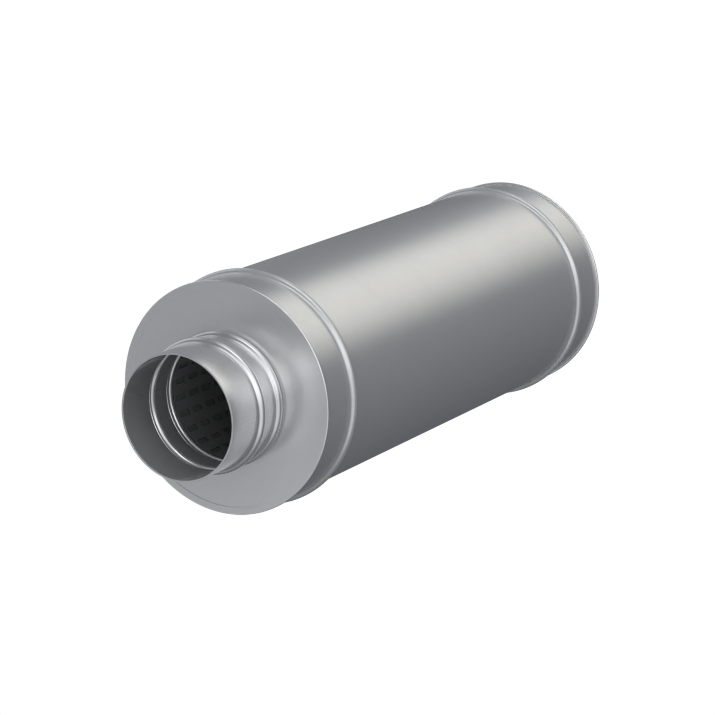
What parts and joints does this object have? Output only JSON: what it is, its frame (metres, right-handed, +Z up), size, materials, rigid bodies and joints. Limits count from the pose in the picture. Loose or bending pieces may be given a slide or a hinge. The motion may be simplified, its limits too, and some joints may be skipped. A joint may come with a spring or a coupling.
{
  "type": "duct sound attenuator",
  "caption": "Round duct silencer: beaded sheet-steel casing lined with wool round a slotted tube, with a beaded spigot at each end.",
  "frame": {"origin": "on the duct axis, half way between the two mouths", "axes": "+X along the duct axis from the front mouth to the rear mouth, +Z up as the silencer hangs level in a duct run"},
  "size_m": [0.766, 0.2345, 0.2346],
  "materials": {
    "casing_sheet": "bright galvanised sheet, satin",
    "plate_sheet": "bright galvanised sheet, satin",
    "spigot_sheet": "bright galvanised sheet, satin",
    "dark_tube": "matt dark coating",
    "black_fleece": "matt glass fleece",
    "mineral_wool": "matt mineral wool"
  },
  "bodies": {
    "root": {"outer_casing": "casing_sheet", "front_end_plate": "plate_sheet", "rear_end_plate": "plate_sheet", "front_spigot": "spigot_sheet", "rear_spigot": "spigot_sheet", "slotted_tube": "dark_tube", "glass_fleece": "black_fleece", "inner_wool_mat": "mineral_wool", "outer_wool_mat": "mineral_wool"}
  },
  "joints": []
}
